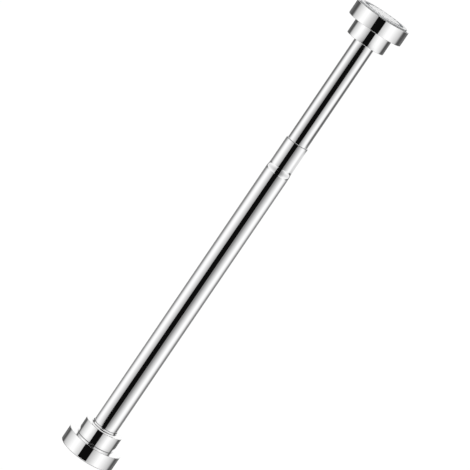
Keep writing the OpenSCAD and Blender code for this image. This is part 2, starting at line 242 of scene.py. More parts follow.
class Signal:
    """A socket in an expression: arithmetic on it adds Math nodes."""

    __add__ = __radd__ = operator("ADD")
    __sub__ = operator("SUBTRACT")
    __rsub__ = operator("SUBTRACT", reflected=True)
    __mul__ = __rmul__ = operator("MULTIPLY")
    __truediv__ = operator("DIVIDE")
    __gt__ = operator("GREATER_THAN")
    least = operator("MINIMUM")
    most = operator("MAXIMUM")
    size = operator("ABSOLUTE")

    def __init__(self, graph: Graph, socket: NodeSocket) -> None:
        """Wraps a socket, with the graph that new nodes go into."""
        self.graph = graph
        self.socket = socket

    def towards(self, other: Link, share: Link) -> "Signal":
        """Moves a share of 0 to 1 of the way to another value."""
        inputs = {"Factor": share, "A": self, "B": other}
        return self.graph.result("ShaderNodeMix", 0, inputs)

    def mixed(self, first: Link, second: Link) -> "Signal":
        """Mixes two colours, the first where this is 0 and the second where it is 1."""
        inputs = {"Factor": self, MIX_COLOUR_A: first, MIX_COLOUR_B: second}
        mix = self.graph.node("ShaderNodeMix", inputs, data_type="RGBA")
        return self.graph.signal(mix, MIX_COLOUR_RESULT)

    def ramp(self, low: float, high: float, kind: str = "LINEAR") -> "Signal":
        """Rises from 0 at one value to 1 at another, evenly if not asked otherwise."""
        inputs = {"Value": self, "From Min": low, "From Max": high}
        return self.graph.result("ShaderNodeMapRange", 0, inputs, interpolation_type=kind)

    def between(self, low: float, high: float) -> "Signal":
        """Fades smoothly from 0 at one value to 1 at another."""
        return self.ramp(low, high, "SMOOTHSTEP")

    def past(self, place: float, soft: float) -> "Signal":
        """Fades smoothly from 0 to 1 across a value, by a soft width on each side."""
        return self.between(place - soft, place + soft)

    def within(self, rise: Fade, fall: Fade) -> "Signal":
        """Fades in over one stretch and out over another."""
        return self.between(*rise) * (1.0 - self.between(*fall))

    def vector_math(self, operation: str, output: str, *others: Link) -> "Signal":
        """Adds a Vector Math node on this vector and others, and returns an output."""
        inputs = dict(enumerate((self, *others)))
        node = self.graph.node("ShaderNodeVectorMath", inputs, operation=operation)
        return self.graph.signal(node, output)

    def dot(self, other: Sequence[float]) -> "Signal":
        """Returns this vector's dot product with a fixed one."""
        return self.vector_math("DOT_PRODUCT", "Value", tuple(other))

    def x(self) -> "Signal":
        """Returns a point's place along the rod."""
        return self.graph.result("ShaderNodeSeparateXYZ", "X", {0: self})

    def from_rod(self) -> "Signal":
        """Returns a point's distance from the rod's axis."""
        flat = self.vector_math("MULTIPLY", "Vector", (0.0, 1.0, 1.0))
        return flat.vector_math("LENGTH", "Value")

    def stretched(self, scale: Triple) -> "Signal":
        """Scales a point along the axes, so that a pattern on it has a direction."""
        inputs = {"Vector": self, "Scale": scale}
        return self.graph.result("ShaderNodeMapping", "Vector", inputs)

    def noise(self, scale: float, detail: float = 2.0, rough: float = 0.5) -> "Signal":
        """Reads a Noise Texture at this point, by its scale, octaves and their weight."""
        inputs = {"Vector": self, "Scale": scale, "Detail": detail, "Roughness": rough}
        return self.graph.result("ShaderNodeTexNoise", 0, inputs)

    def bumped(self, distance: float, strength: float) -> "Signal":
        """Returns the normal for this height, which is 1 at the distance in metres."""
        inputs = {"Height": self, "Distance": distance, "Strength": strength}
        return self.graph.result("ShaderNodeBump", "Normal", inputs)


@dataclass(frozen=True)
class Patch:
    """A band round a turned piece, by place and radius, with a look of its own."""

    low_x: float
    high_x: float
    low_r: float
    high_r: float
    strength: float = 1.0

    def mask(self, point: Signal) -> Signal:
        """Builds the patch's mask.

        Args:
            point: The shaded point.

        Returns:
            The strength inside it and 0 outside.
        """
        along = self._inside(point.x(), self.low_x, self.high_x)
        across = self._inside(point.from_rod(), self.low_r, self.high_r)
        return along * across * self.strength

    @staticmethod
    def _inside(value: Signal, low: float, high: float) -> Signal:
        """Gives 1 between two values, with soft ends."""
        return value.past(low, PATCH_SOFT) * (1.0 - value.past(high, PATCH_SOFT))


@dataclass(frozen=True)
class Finish:
    """A finish that becomes one procedural material. Subclasses add their pattern."""

    FIXED: ClassVar[Inputs] = {}
    name: str
    colour: Triple
    roughness: float
    patches: tuple[Patch, ...] = ()

    @cache
    def material(self) -> Material:
        """Builds the material, once for each finish.

        Returns:
            The finished material.
        """
        made = bpy.data.materials.new(self.name)
        graph = Graph.of(made)
        base = {"Base Color": (*self.colour, 1.0), "Roughness": self.roughness}
        shader = graph.node("ShaderNodeBsdfPrincipled", {**base, **self.FIXED})
        point = graph.result("ShaderNodeTexCoord", "Object")
        for socket, value in self.varying(point).items():
            graph.feed(shader.inputs[socket], value)
        graph.node("ShaderNodeOutputMaterial", {"Surface": graph.signal(shader, "BSDF")})
        return made

    def varying(self, point: Signal) -> dict[str, Link]:
        """Returns a link for each shader socket that changes over the surface."""
        raise NotImplementedError

    def shaded(self, mask: Signal, depth: float) -> Signal:
        """Darkens the base colour by a depth of 0 to 1 where a mask is high."""
        dark = tuple(c * (1.0 - depth) for c in self.colour)
        return mask.mixed((*self.colour, 1.0), (*dark, 1.0))

    def patched(self, point: Signal, clean: Link, other: Link) -> Link:
        """Shows another colour in this finish's patches.

        Args:
            point: The shaded point.
            clean: The colour outside them.
            other: The colour inside them.

        Returns:
            The colour all over.
        """
        for patch in self.patches:
            clean = patch.mask(point).mixed(clean, other)
        return clean


@dataclass(frozen=True)
class Chrome(Finish):
    """Bright plating, with faint polishing lines, a slow ripple and a breath of haze."""

    FIXED = {"Metallic": 1.0}
    # Colour of the darker patches: painted shade in the feet's step and the mouth ring, and
    # a darker band at the outer tube's neck end.
    DARK_PATCH_COLOUR = (0.07, 0.07, 0.075, 1.0)
    line_stretch: Triple = (1.0, 1.0, 1.0)
    line_scale: float = 900.0
    line_rough: float = 0.008
    line_height: float = 0.001
    cloud_scale: float = 60.0
    cloud_detail: float = 3.0
    haze: float = 0.01
    haze_fade: Fade = (0.45, 0.75)
    dull: float = 0.02
    dull_fade: Fade = (0.5, 0.8)
    least_rough: float = 0.015
    ripple_stretch: Triple = (0.25, 1.0, 1.0)
    ripple_scale: float = 26.0
    ripple_depth: float = 0.02 * MM
    ripple_strength: float = 0.35

    def varying(self, point: Signal) -> dict[str, Link]:
        """Builds the haze, the lines and the ripple.

        Args:
            point: The shaded point.

        Returns:
            A link for each shader socket that varies.
        """
        lines = point.stretched(self.line_stretch).noise(self.line_scale) - NOISE_MIDDLE
        cloud = point.noise(self.cloud_scale, self.cloud_detail)
        ripple = point.stretched(self.ripple_stretch).noise(self.ripple_scale)
        haze = cloud.between(*self.haze_fade) * self.haze
        rough = haze + lines * self.line_rough + self.roughness
        height = ripple + lines * self.line_height
        colour = self.shaded(cloud.between(*self.dull_fade), self.dull)
        return {
            "Base Color": self.patched(point, colour, self.DARK_PATCH_COLOUR),
            "Roughness": rough.most(self.least_rough),
            "Normal": height.bumped(self.ripple_depth, self.ripple_strength),
        }


def tube_chrome(name: str, *darker_patches: Patch) -> Chrome:
    """Returns drawn tube's plating, with fine lines along it and darker patches."""
    return Chrome(name, (0.93, 0.93, 0.935), 0.025, darker_patches, line_stretch=(0.02, 1.0, 1.0))


def foot_chrome(name: str, *darker_patches: Patch) -> Chrome:
    """Returns the feet's plating, with patches of painted shade."""
    return Chrome(name, (0.94, 0.94, 0.94), 0.025, darker_patches)


@dataclass(frozen=True)
class Grained(Finish):
    """A finish with a fine grain that bumps it and broad clouds that darken it."""

    # Colour of painted shade, laid in a finish's patches.
    PAINTED_SHADE = (0.35, 0.36, 0.37, 1.0)
    grain_stretch: Triple = (1.0, 1.0, 1.0)
    grain_scale: float = 900.0
    grain_depth: float = 0.02 * MM
    grain_strength: float = 0.3
    grain_rough: float = 0.0
    cloud_stretch: Triple = (1.0, 1.0, 1.0)
    cloud_scale: float = 150.0
    cloud_detail: float = 4.0
    cloud_weight: float = 0.6
    cloud_fade: Fade = (0.45, 0.8)
    cloud_dark: float = 0.25
    cloud_rough: float = 0.0

    def varying(self, point: Signal) -> dict[str, Link]:
        """Builds the grain and the clouds, with painted shade in the patches.

        Args:
            point: The shaded point.

        Returns:
            A link for each shader socket that varies.
        """
        grain = point.stretched(self.grain_stretch).noise(self.grain_scale)
        cloud = point.stretched(self.cloud_stretch)
        cloud = cloud.noise(self.cloud_scale, self.cloud_detail, self.cloud_weight)
        clean = self.shaded(cloud.between(*self.cloud_fade), self.cloud_dark)
        rough = grain * self.grain_rough + cloud * self.cloud_rough
        return {
            "Base Color": self.patched(point, clean, self.PAINTED_SHADE),
            "Roughness": rough + self.roughness,
            "Normal": grain.bumped(self.grain_depth, self.grain_strength),
        }


@dataclass(frozen=True)
class Silicone(Grained):
    """Soft silicone with a fine matt grain and dust."""

    FIXED = {"IOR": 1.41, "Specular IOR Level": 0.15}
    grain_depth: float = 0.004 * MM
    grain_strength: float = 0.1
    cloud_scale: float = 120.0
    cloud_fade: Fade = (0.45, 0.85)
    cloud_dark: float = 0.04
    cloud_rough: float = 0.12


@dataclass(frozen=True)
class Moulded(Grained):
    """Moulded plastic with a fine spark-eroded grain and faint flow clouds."""

    grain_scale: float = 1800.0
    grain_depth: float = 0.03 * MM
    grain_strength: float = 0.35
    cloud_stretch: Triple = (0.4, 1.0, 1.0)
    cloud_scale: float = 90.0
    cloud_detail: float = 3.0
    cloud_weight: float = 0.5
    cloud_fade: Fade = (0.35, 0.75)
    cloud_dark: float = 0.12
    cloud_rough: float = 0.1


@dataclass(frozen=True)
class TurnedSteel(Grained):
    """Plated or oiled steel with turning marks round X and darker stains."""

    FIXED = {"Metallic": 1.0}
    grain_stretch: Triple = (6.0, 0.2, 0.2)
    grain_rough: float = 0.15


# Painted shade: the grip bars are the pad's pale silicone, made dark grey for the shade on
# their sides and in the channel.
BAR_SHADE_SILICONE = Silicone("grey_silicone", (0.24, 0.25, 0.26), 0.5)
DARK_MOULDING = Moulded("dark_moulding", (0.035, 0.035, 0.04), 0.45)
NATURAL_NYLON = Moulded("natural_nylon", (0.72, 0.7, 0.62), 0.4)
GREY_ACETAL = Moulded("grey_acetal", (0.12, 0.125, 0.14), 0.35)
PALE_BUSH = Moulded("pale_bush", (0.55, 0.56, 0.58), 0.3)
ZINC_PLATE = TurnedSteel("zinc_plate", (0.62, 0.63, 0.65), 0.28)
OILED_SPRING = TurnedSteel("oiled_spring", (0.3, 0.3, 0.32), 0.3)


@dataclass(frozen=True)
class Corner:
    """A corner of a turned piece's outline, rounded by a fillet."""

    x: float
    r: float
    fillet: float = EDGE_BREAK


@dataclass(frozen=True)
class RimPoint:
    """A point of a finished outline, with the surface's normal there."""

    x: float
    r: float
    normal: tuple[float, float]


class Outline:
    """A closed outline in the plane of X and the radius, with round corners."""

    def __init__(self, corners: Sequence[Corner]) -> None:
        """Keeps the corners, turned so that they run anticlockwise.

        Args:
            corners: The corners in order. Corners on the axis close a solid piece.
        """
        sides = zip(corners, [*corners[1:], corners[0]])
        area = sum(a.x * b.r - b.x * a.r for a, b in sides)
        self.corners = list(corners) if area > 0 else list(reversed(corners))

    def points(self) -> list[RimPoint]:
        """Rounds each corner.

        Returns:
            The outline's points in order, with their normals.
        """
        made: list[RimPoint] = []
        before = self.corners[-1]
        for corner, after in zip(self.corners, [*self.corners[1:], self.corners[0]]):
            made.extend(self._round(before, corner, after))
            before = corner
        return made

    def _round(self, before: Corner, corner: Corner, after: Corner) -> list[RimPoint]:
        """Rounds one corner with an arc that is tangent to both sides.

        Args:
            before: The corner before it.
            corner: The corner to round.
            after: The corner after it.

        Returns:
            The arc's points, or a single one on the axis or on a straight line.
        """
        here = Vector((corner.x, corner.r))
        back = Vector((before.x, before.r)) - here
        ahead = Vector((after.x, after.r)) - here
        into = -back.normalized()
        out = ahead.normalized()
        first = Vector((into.y, -into.x))
        last = Vector((out.y, -out.x))
        if corner.r < EDGE_BREAK:
            flat = last if before.r < EDGE_BREAK else first
            return [RimPoint(corner.x, 0.0, tuple(flat))]
        turn = math.atan2(into.cross(out), into.dot(out))
        if abs(turn) < STRAIGHT:
            return [RimPoint(corner.x, corner.r, tuple(first))]
        reach = corner.fillet * math.tan(abs(turn) / 2)
        reach = min(reach, SIDE_SHARE * back.length, SIDE_SHARE * ahead.length)
        radius = reach / math.tan(abs(turn) / 2)
        start = here - into * reach
        side = math.copysign(1.0, turn)
        centre = start - first * radius * side
        made = []
        for step in range(ARC_STEPS + 1):
            normal = first.copy()
            normal.rotate(Matrix.Rotation(turn * step / ARC_STEPS, 2))
            place = centre + normal * radius * side
            made.append(RimPoint(place.x, place.y, tuple(normal)))
        return made

    def piece(self, name: str) -> Object:
        """Turns the outline round X into a closed mesh with exact normals.

        A point on the axis stands for a whole ring, so its faces have a corner less.

        Args:
            name: The piece's name.

        Returns:
            The piece, at the origin.
        """
        vertices: list[Triple] = []
        normals: list[Triple] = []
        rows: list[list[int]] = []
        for rim in self.points():
            count = 1 if rim.r == 0.0 else ROUND_SEGMENTS
            rows.append([len(vertices) + i % count for i in range(ROUND_SEGMENTS)])
            nx, nr = rim.normal
            for i in range(count):
                angle = math.tau * i / ROUND_SEGMENTS
                c, s = math.cos(angle), math.sin(angle)
                vertices.append((rim.x, rim.r * c, rim.r * s))
                normals.append((nx, nr * c, nr * s))
        faces = []
        for row, after in zip(rows, [*rows[1:], rows[0]]):
            for i in range(ROUND_SEGMENTS):
                k = (i + 1) % ROUND_SEGMENTS
                face = tuple(dict.fromkeys((row[i], after[i], after[k], row[k])))
                if len(face) > 2:
                    faces.append(face)
        mesh = bpy.data.meshes.new(name)
        mesh.from_pydata(vertices, [], faces)
        smooth(mesh)
        mesh.normals_split_custom_set_from_vertices(normals)
        mesh.update()
        return into_scene(name, mesh)


def dress(piece: Object, finish: Finish, body: Body) -> Object:
    """Gives a new piece its finish and body.

    Args:
        piece: The piece, in place.
        finish: Its finish.
        body: The body that it moves with.

    Returns:
        The piece.
    """
    piece.data.materials.clear()
    piece.data.materials.append(finish.material())
    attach(piece, body.value)
    LOG.info("%s rides on %s in %s", piece.name, body.value, finish.name)
    return piece


class GeometryTree:
    """A geometry node tree with named inputs, applied to an object and then removed."""

    KINDS = {
        Object: "NodeSocketObject",
        Material: "NodeSocketMaterial",
        int: "NodeSocketInt",
        float: "NodeSocketFloat",
    }

    def __init__(self, name: str, sizes: dict[str, Any]) -> None:
        """Starts the tree and its interface.

        Args:
            name: The tree's name.
            sizes: Each input's name and value. A whole number makes an integer input.
        """
        self.tree = bpy.data.node_groups.new(name, "GeometryNodeTree")
        self.graph = Graph(self.tree)
        self.values: dict[str, Any] = {}
        face = self.tree.interface
        for way in ("INPUT", "OUTPUT"):
            face.new_socket("Geometry", in_out=way, socket_type="NodeSocketGeometry")
        for label, value in sizes.items():
            kind = self.KINDS[type(value)]
            socket = face.new_socket(label, in_out="INPUT", socket_type=kind)
            self.values[socket.identifier] = value
        self.entry = self.graph.node("NodeGroupInput")

    def size(self, label: str) -> Signal:
        """Returns a named input for use in an expression."""
        return self.graph.signal(self.entry, label)

    def grow(self, name: str, geometry: Signal) -> Object:
        """Ends the tree with real geometry in its material, and runs it.

        Args:
            name: The piece's name.
            geometry: What the tree made so far.

        Returns:
            The piece as a plain mesh, at the origin, with no modifier.
        """
        real = self.graph.result("GeometryNodeRealizeInstances", 0, {"Geometry": geometry})
        inputs = {"Geometry": real, "Material": self.size("Material")}
        skin = self.graph.result("GeometryNodeSetMaterial", 0, inputs)
        self.graph.node("NodeGroupOutput", {"Geometry": skin})
        piece = into_scene(name, bpy.data.meshes.new(name))
        modifier = piece.modifiers.new(name, "NODES")
        modifier.node_group = self.tree
        for identifier, value in self.values.items():
            modifier[identifier] = value
        settle(piece)
        return piece


@dataclass
class Foot:
    """One stepped foot: plated cover, silicone pad and its ring of grip bars."""

    prefix: str
    body: Body
    wall_x: float
    inward: float
    tube_r: float
    disc_r: float
    foot_h: float
    pad_proud: float
    pad_r: float
    pad_back: float
    disc_h: float = 15.7 * MM
    collar_r: float = 20.0 * MM
    cover_wall: float = 1.8 * MM
    rim_edge: float = 0.9 * MM
    rim_lip: float = 0.25 * MM
    rim_t: float = 1.2 * MM
    step_edge: float = 0.3 * MM
    step_fillet: float = 0.2 * MM
    # The step_dark fields paint shade into the corner where the collar meets the disc.
    step_dark: float = 0.6
    step_dark_h: float = 0.45 * MM
    step_dark_w: float = 0.2 * MM
    mouth_r: float = 13.56 * MM
    mouth_sink: float = 0.3 * MM
    mouth_edge: float = 0.2 * MM
    pad_fit: float = 0.05 * MM
    pad_edge: float = 0.45 * MM
    pad_land_w: float = 2.9 * MM
    pad_centre_r: float = 16.6 * MM
    pad_colour: Triple = (0.9, 0.9, 0.9)
    pad_rough: float = 0.5
    channel_depth: float = 0.7 * MM
    channel_draft: float = 0.2 * MM
    # Painted shade in the pad's channel.
    channel_painted_shade: float = 0.3
    # Painted shade on the pad's side, in the gap by the rim.
    side_skin: float = 0.1 * MM
    side_low: float = 0.2 * MM
    side_painted_shade: float = 0.8
    bar_count: int = 24
    bar_w: float = 1.7 * MM
    bar_len: float = 3.0 * MM
    bar_sunk: float = 0.2 * MM
    bar_edge: float = 0.25 * MM
    bar_edge_segments: int = 3
    bar_sharp_from: float = 50.0

    def __post_init__(self) -> None:
        """Works out the height of the disc's face and the channel's outer radius."""
        self.disc_top = self.pad_proud + self.disc_h
        self.channel_r = self.pad_r - self.pad_land_w

    def x(self, height: float) -> float:
        """Turns a height above the wall into a place along the rod."""
        return self.wall_x + self.inward * height

    def turned(self, name: str, *rows: tuple[float, ...]) -> Object:
        """Turns a piece from rows of height above the wall, radius and fillet."""
        corners = [Corner(self.x(height), *rest) for height, *rest in rows]
        return Outline(corners).piece(name)

    def patch(
        self, heights: Fade, low_r: float, high_r: float, strength: float = 1.0
    ) -> Patch:
        """Returns a patch between two heights above this foot's wall.

        Args:
            heights: The height nearer to the wall and the one farther from it.
            low_r: Its least radius.
            high_r: Its greatest radius.
            strength: How much it shows.

        Returns:
            The patch, a little wider than its surface on every side.
        """
        low, high = heights
        ends = sorted((self.x(low - PATCH_SOFT), self.x(high + PATCH_SOFT)))
        return Patch(*ends, low_r - PATCH_SOFT, high_r + PATCH_SOFT, strength)

    def build(self) -> None:
        """Builds and dresses the foot's pieces."""
        prefix, body = self.prefix, self.body
        # Painted shade in the corner between the disc's face and the collar.
        step = (self.disc_top, self.disc_top + self.step_dark_h)
        dark = self.patch(step, 0.0, self.collar_r + self.step_dark_w, self.step_dark)
        chrome = foot_chrome(f"{prefix}_cover_chrome", dark)
        cover = dress(self.cover(), chrome, body)
        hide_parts(f"{prefix}_flange_cover")
        # Painted shade: the pad's channel and its side in the gap by the rim are darkened.
        depth = (0.0, self.channel_depth)
        channel = self.patch(depth, self.pad_centre_r, self.channel_r, self.channel_painted_shade)
        proud = (self.side_low, self.pad_proud)
        edge = self.patch(proud, self.pad_r - self.side_skin, self.pad_r, self.side_painted_shade)
        pad_shade = (channel, edge)
        soft = Silicone(f"{prefix}_silicone", self.pad_colour, self.pad_rough, pad_shade)
        pad = dress(self.pad(), soft, body)
        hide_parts(f"{prefix}_grip_pad")
        # The bars are dressed in painted shade, darker than the pad they belong to.
        dress(self.grip_bars(), BAR_SHADE_SILICONE, body)

    def cover(self) -> Object:
        """Builds the stepped plated cover.

        Returns:
            The cover.
        """
        wall, edge = self.cover_wall, self.mouth_edge
        rim_back = self.pad_proud + self.rim_t
        hole_r = self.pad_r + self.pad_fit
        bore_r = self.disc_r - wall
        collar_bore = self.collar_r - wall
        return self.turned(
            f"{self.prefix}_cover_shell",
            (self.pad_proud, hole_r, self.rim_lip),
            (self.pad_proud, self.disc_r, self.rim_edge),
            (self.disc_top, self.disc_r, self.step_edge),
            (self.disc_top, self.collar_r, self.step_fillet),
            (self.foot_h, self.collar_r, self.step_edge),
            (self.foot_h, self.mouth_r + self.mouth_sink, edge),
            (self.foot_h - self.mouth_sink, self.mouth_r, edge),
            (self.foot_h - wall, self.mouth_r),
            (self.foot_h - wall, collar_bore),
            (self.disc_top - wall, collar_bore),
            (self.disc_top - wall, bore_r),
            (rim_back, bore_r),
            (rim_back, hole_r),
        )

    def pad(self) -> Object:
        """Builds the silicone pad with its lands and channel.

        Returns:
            The pad.
        """
        soft, depth, draft = self.pad_edge, self.channel_depth, self.channel_draft
        return self.turned(
            f"{self.prefix}_pad_body",
            (0.0, 0.0),
            (0.0, self.pad_centre_r, soft),
            (depth, self.pad_centre_r + draft, draft),
            (depth, self.channel_r - draft, draft),
            (0.0, self.channel_r, soft),
            (0.0, self.pad_r, soft),
            (self.pad_back, self.pad_r),
            (self.pad_back, 0.0),
        )

    def grip_bars(self) -> Object:
        """Builds the ring of grip bars in the pad's channel.

        Returns:
            The bars, as one piece.
        """
        bar = self._bar()
        sizes = {
            "Count": self.bar_count,
            "Ring radius": (self.channel_r + self.pad_centre_r) / 2,
            "Bar": bar,
            "Material": BAR_SHADE_SILICONE.material(),
        }
        tree = GeometryTree(f"{self.prefix}_grip_ring", sizes)
        graph, count = tree.graph, tree.size("Count")
        ring = {"Vertices": count, "Radius": tree.size("Ring radius")}
        turn = {"Z": graph.result("GeometryNodeInputIndex") * math.tau / count}
        shape = {"Object": tree.size("Bar")}
        copies = {
            "Points": graph.result("GeometryNodeMeshCircle", "Mesh", ring),
            "Instance": graph.result("GeometryNodeObjectInfo", "Geometry", shape),
            "Rotation": graph.result("ShaderNodeCombineXYZ", "Vector", turn),
        }
        upright = {
            "Geometry": graph.result("GeometryNodeInstanceOnPoints", "Instances", copies),
            "Rotation": (0.0, self.inward * math.pi / 2, 0.0),
            "Translation": (self.wall_x, 0.0, 0.0),
        }
        standing = graph.result("GeometryNodeTransform", "Geometry", upright)
        bars = tree.grow(f"{self.prefix}_pad_bars", standing)
        bpy.data.objects.remove(bar)
        return bars

    def _bar(self) -> Object:
        """Builds one grip bar, standing on +Z from the wall plane into the pad.

        Returns:
            The bar, with soft edges.
        """
        half_l, half_w = self.bar_len / 2, self.bar_w / 2
        xs, ys = (-half_l, half_l), (-half_w, half_w)
        zs = (0.0, self.channel_depth + self.bar_sunk)
        vertices = [(x, y, z) for x in xs for y in ys for z in zs]
        ends = [(0, 1, 3, 2), (4, 6, 7, 5)]
        sides = [(0, 4, 5, 1), (2, 3, 7, 6), (0, 2, 6, 4), (1, 5, 7, 3)]
        mesh = bpy.data.meshes.new("grip_bar")
        mesh.from_pydata(vertices, [], ends + sides)
        bar = into_scene("grip_bar", mesh)
        bevel = bar.modifiers.new("soft_edges", "BEVEL")
        bevel.width = self.bar_edge
        bevel.segments = self.bar_edge_segments
        settle(bar)
        smooth(bar.data, self.bar_sharp_from)
        return bar


@dataclass
class Mouth:
    """What fills a foot's mouth round the tube: a flared ring or a reducing bush."""

    foot: Foot
    lip_w: float = 0.9 * MM
    lip_h: float = 2.0 * MM
    lip_edge: float = 0.3 * MM
    funnel_depth: float = 1.6 * MM
    waist_h: float = 0.15 * MM
    waist_w: float = 0.135 * MM
    bell_h: float = 1.0 * MM
    bell_w: float = 0.035 * MM
    bell_fillet: float = 17.0 * MM
    small_fillet: float = 0.1 * MM
    bush_edge: float = 0.2 * MM
    turn_fit: float = 0.06 * MM
    seat_fit: float = 0.05 * MM
    socket_r: float = 12.56 * MM
    tube_seat: float = 11.6 * MM
    tube_gap: float = 0.3 * MM

    def __post_init__(self) -> None:
        """Works out the radii and heights that both fillings share."""
        self.bore = self.foot.tube_r + self.turn_fit
        self.seat_r = self.foot.mouth_r - self.seat_fit
        self.base = self.foot.foot_h - self.foot.cover_wall - self.seat_fit
        self.floor = self.foot.foot_h - self.foot.mouth_sink

    def entry_ring(self) -> None:
        """Builds the flared ring of the outer foot."""
        foot, bore, small = self.foot, self.bore, self.small_fillet
        top = foot.foot_h + self.lip_h
        lip_r = foot.tube_r + self.lip_w
        lip_bore = lip_r - self.lip_edge
        bell = top - self.bell_h
        throat = top - self.funnel_depth
        ring = foot.turned(
            "outer_mouth_ring",
            (self.base, bore),
            (self.base, self.seat_r),
            (self.floor, self.seat_r, small),
            (self.floor + self.waist_h, lip_r - self.waist_w, small),
            (bell, lip_r - self.bell_w, self.bell_fillet),
            (top, lip_r, self.lip_edge),
            (top, lip_bore),
            (throat, bore, small),
        )
        # Painted shade: the funnel's inner wall and the lip's top are darkened, for the
        # dark gap round the tube.
        flare = (lip_bore - bore) * (1.0 - self.bell_h / self.funnel_depth)
        funnel = foot.patch((throat, bell), bore, bore + flare)
        rim = foot.patch((bell, top), bore, lip_bore)
        chrome = foot_chrome("ring_chrome", funnel, rim)
        dress(ring, chrome, foot.body)
        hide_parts("outer_entry_ring")

    def reducing_bush(self) -> None:
        """Builds the bush that fits the inner tube into its foot."""
        foot, bore = self.foot, self.bore
        front = self.tube_seat + self.tube_gap
        hub_r = self.socket_r - self.seat_fit
        bush = foot.turned(
            "inner_mouth_bush",
            (front, bore),
            (front, hub_r),
            (self.base, hub_r),
            (self.base, self.seat_r),
            (self.floor, self.seat_r),
            (foot.foot_h, self.seat_r + foot.mouth_sink, self.small_fillet),
            (foot.foot_h, bore, self.bush_edge),
        )
        dress(bush, PALE_BUSH, foot.body)
        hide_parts("inner_reducing_bush")


@dataclass
class OuterTube:
    """The outer tube, with its shoulder and drawn neck."""

    start: float
    neck_end: float
    outer_r: float
    inner_tube_r: float
    wall: float = 1.0 * MM
    end_edge: float = 0.2 * MM
    neck_wall: float = 1.1 * MM
    slide_fit: float = 0.1 * MM
    neck_len: float = 29.0 * MM
    neck_edge: float = 0.35 * MM
    neck_bore_edge: float = 0.15 * MM
    shoulder_len: float = 4.8 * MM
    shoulder_fillet: float = 28.0 * MM
    neck_band_len: float = 0.7 * MM
    neck_band_dark: float = 0.4

    def build(self) -> None:
        """Builds and dresses the tube."""
        neck_start = self.neck_end - self.neck_len
        shoulder = neck_start - self.shoulder_len
        neck_bore = self.inner_tube_r + self.slide_fit
        neck_r = neck_bore + self.neck_wall
        bore = self.outer_r - self.wall
        bend = self.shoulder_fillet
        corners = [
            Corner(self.start, self.outer_r, self.end_edge),
            Corner(shoulder, self.outer_r, bend),
            Corner(neck_start, neck_r, bend),
            Corner(self.neck_end, neck_r, self.neck_edge),
            Corner(self.neck_end, neck_bore, self.neck_bore_edge),
            Corner(neck_start, neck_bore, bend),
            Corner(shoulder, bore, bend),
            Corner(self.start, bore),
        ]
        tube = Outline(corners).piece("outer_tube_shell")
        # A darker band over the neck's last stretch and its end face.
        neck_band_x = self.neck_end - self.neck_band_len
        neck_band = Patch(neck_band_x, self.neck_end + MM, 0.0, self.outer_r, self.neck_band_dark)
        chrome = tube_chrome("outer_tube_chrome", neck_band)
        dress(tube, chrome, Body.OUTER_ROD)
        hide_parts("outer_tube")


@dataclass
class InnerTube:
    """The inner tube, with the two rolled grooves that hold its plugs."""

    start: float
    end: float
    r: float
    wall: float = 0.9 * MM
    end_edge: float = 0.15 * MM
    groove_depth: float = 0.7 * MM
    groove_half: float = 1.6 * MM
    groove_lip: float = 1.2 * MM
    groove_floor: float = 1.0 * MM
    guide_groove: float = 11.0 * MM
    stop_groove: float = 107.8 * MM

    def build(self) -> None:
        """Builds and dresses the tube."""
        bore = self.r - self.wall
        outside = [Corner(self.start, self.r, self.end_edge)]
        inside = [Corner(self.start, bore)]
        for offset in (self.guide_groove, self.stop_groove):
            outside.extend(self._groove(self.start + offset, self.r))
            inside.extend(self._groove(self.start + offset, bore))
        outside.append(Corner(self.end, self.r, self.end_edge))
        inside.append(Corner(self.end, bore))
        tube = Outline([*outside, *reversed(inside)]).piece("inner_tube_shell")
        chrome = tube_chrome("inner_tube_chrome")
        dress(tube, chrome, Body.INNER_ROD)
        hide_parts("inner_tube")

    def _groove(self, x: float, r: float) -> list[Corner]:
        """Returns the corners of one rolled groove.

        Args:
            x: Its middle, along the rod.
            r: Radius of the wall that it is rolled into.

        Returns:
            Its three corners, rounded.
        """
        return [
            Corner(x - self.groove_half, r, self.groove_lip),
            Corner(x, r - self.groove_depth, self.groove_floor),
            Corner(x + self.groove_half, r, self.groove_lip),
        ]


